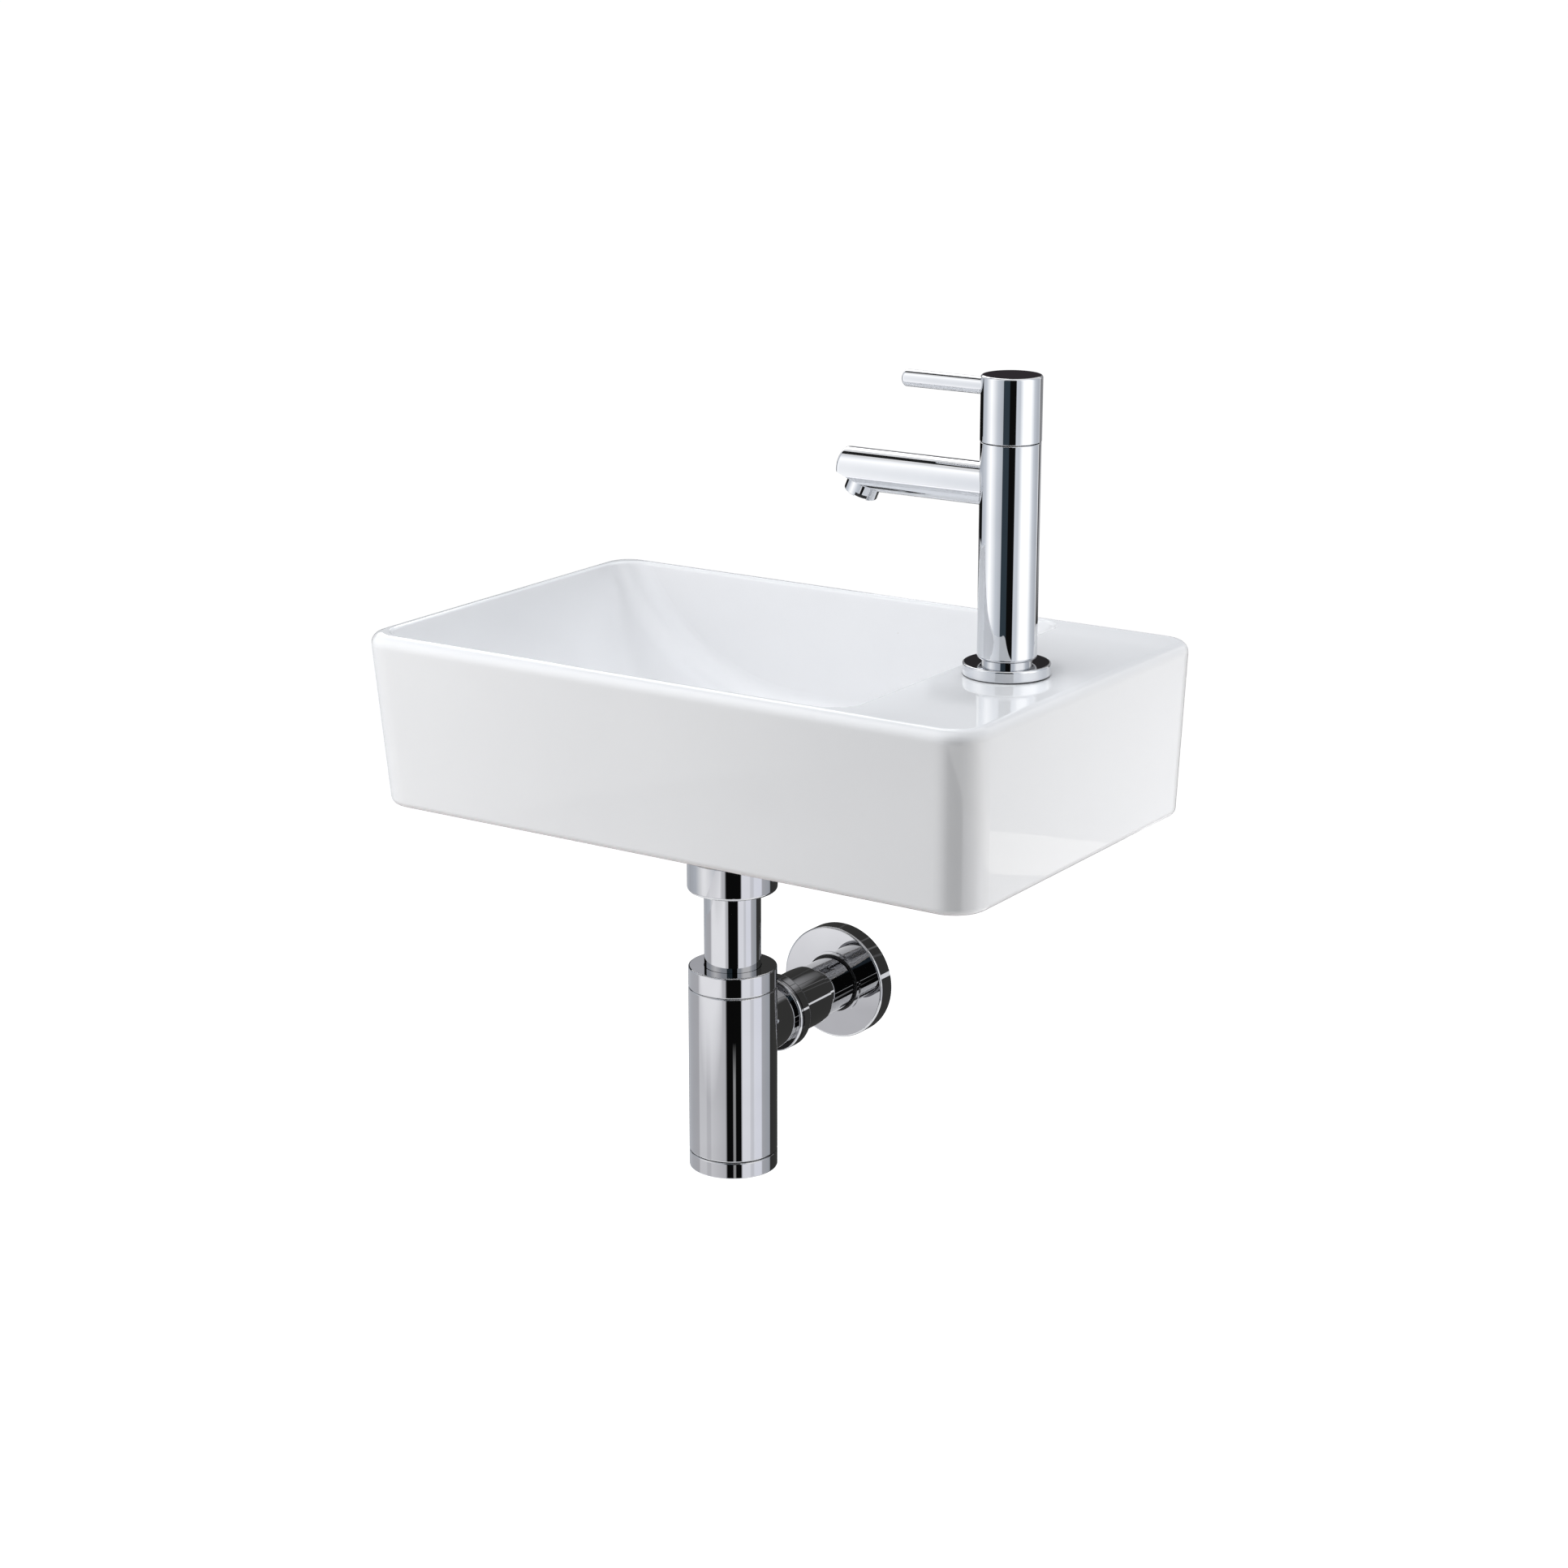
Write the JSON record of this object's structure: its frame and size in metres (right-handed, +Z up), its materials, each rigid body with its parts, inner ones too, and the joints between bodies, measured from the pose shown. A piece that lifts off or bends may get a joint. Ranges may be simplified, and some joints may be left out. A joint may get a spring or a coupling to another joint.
{
  "type": "wall-hung hand basin",
  "caption": "Small rectangular wall-hung ceramic hand basin with a side deck, a lever pillar tap, and a chrome bottle trap with its wall outlet.",
  "frame": {"origin": "midway between the two wall fixing holes, on the basin's back face, which is the wall plane", "axes": "+Z up, +Y into the wall, +X to the right as seen by someone at the basin"},
  "size_m": [0.3844, 0.2624, 0.4689],
  "materials": {
    "glaze": "glossy white glaze",
    "tap_chrome": "polished chrome plate",
    "trap_chrome": "polished chrome plate",
    "waste_chrome": "polished chrome plate",
    "bare_brass": "turned brass",
    "bare_steel": "stainless steel",
    "black_rubber": "black moulded rubber",
    "white_plastic": "white moulded plastic",
    "black_plastic": "black moulded plastic",
    "disc_ceramic": "lapped alumina ceramic"
  },
  "bodies": {
    "basin_set": {"basin": "glaze", "waste_body": "waste_chrome", "waste_cover": "waste_chrome", "waste_cover_screw": "bare_steel", "waste_gasket": "black_rubber", "waste_rubber_washer": "black_rubber", "waste_slip_washer": "white_plastic", "waste_backnut": "bare_brass", "inlet_nut": "trap_chrome", "inlet_washer": "black_rubber", "inlet_tube": "trap_chrome", "tap_base_seal": "black_rubber", "tap_base_ring": "tap_chrome", "tap_body": "tap_chrome", "tap_shank": "bare_brass", "tap_rubber_washer": "black_rubber", "tap_metal_washer": "bare_steel", "tap_backnut": "bare_brass", "tap_spout": "tap_chrome", "aerator_housing": "tap_chrome", "aerator_seal": "black_rubber", "aerator_insert": "black_plastic", "valve_seat_seal": "black_rubber", "valve_fixed_disc": "disc_ceramic", "cartridge_housing": "bare_brass"},
    "handle": {"handle_cap": "tap_chrome", "handle_lever": "tap_chrome", "handle_grub_screw": "bare_steel", "cartridge_spindle": "bare_brass", "valve_turning_disc": "disc_ceramic", "spindle_oring": "black_rubber", "spindle_clip": "bare_steel"},
    "trap_slip": {"bottle_cone_seal": "black_rubber", "bottle_slip_ring": "white_plastic"},
    "bottle": {"bottle_top_nut": "trap_chrome", "bottle_cup": "trap_chrome", "outlet_nut": "trap_chrome", "outlet_cone_seal": "black_rubber", "outlet_slip_ring": "white_plastic"},
    "cap_seal": {"bottle_cap_seal": "black_rubber"},
    "cap": {"bottle_cap": "trap_chrome"},
    "wall_pipe": {"wall_tube": "trap_chrome"},
    "flange": {"wall_flange": "trap_chrome", "wall_flange_seal": "black_rubber"}
  },
  "joints": [
    {"name": "handle_turn", "type": "hinge", "parent": "basin_set", "child": "handle", "pos_m": [0.145, -0.126, 0.2], "axis": [0, 0, 1], "range_deg": [0, 90]},
    {"name": "trap_height", "type": "slide", "parent": "basin_set", "child": "trap_slip", "axis": [0, 0, 1], "range_m": [-0.015, 0.02]},
    {"name": "trap_swivel", "type": "hinge", "parent": "trap_slip", "child": "bottle", "pos_m": [-0.034, -0.115, -0.2], "axis": [0, 0, 1], "continuous": true},
    {"name": "cap_drop", "type": "slide", "parent": "bottle", "child": "cap_seal", "axis": [0, 0, -1], "range_m": [0, 0.01]},
    {"name": "cap_turn", "type": "hinge", "parent": "cap_seal", "child": "cap", "pos_m": [-0.034, -0.115, -0.23], "axis": [0, 0, -1], "range_deg": [0, 1440]},
    {"name": "outlet_reach", "type": "slide", "parent": "bottle", "child": "wall_pipe", "axis": [0, 1, 0], "range_m": [-0.005, 0.008]},
    {"name": "flange_slide", "type": "slide", "parent": "wall_pipe", "child": "flange", "axis": [0, 1, 0], "range_m": [-0.018, 0]}
  ],
  "couplings": [
    {"joint": "cap_drop", "follows": "cap_turn", "m_per_rad": 0.00039749}
  ]
}
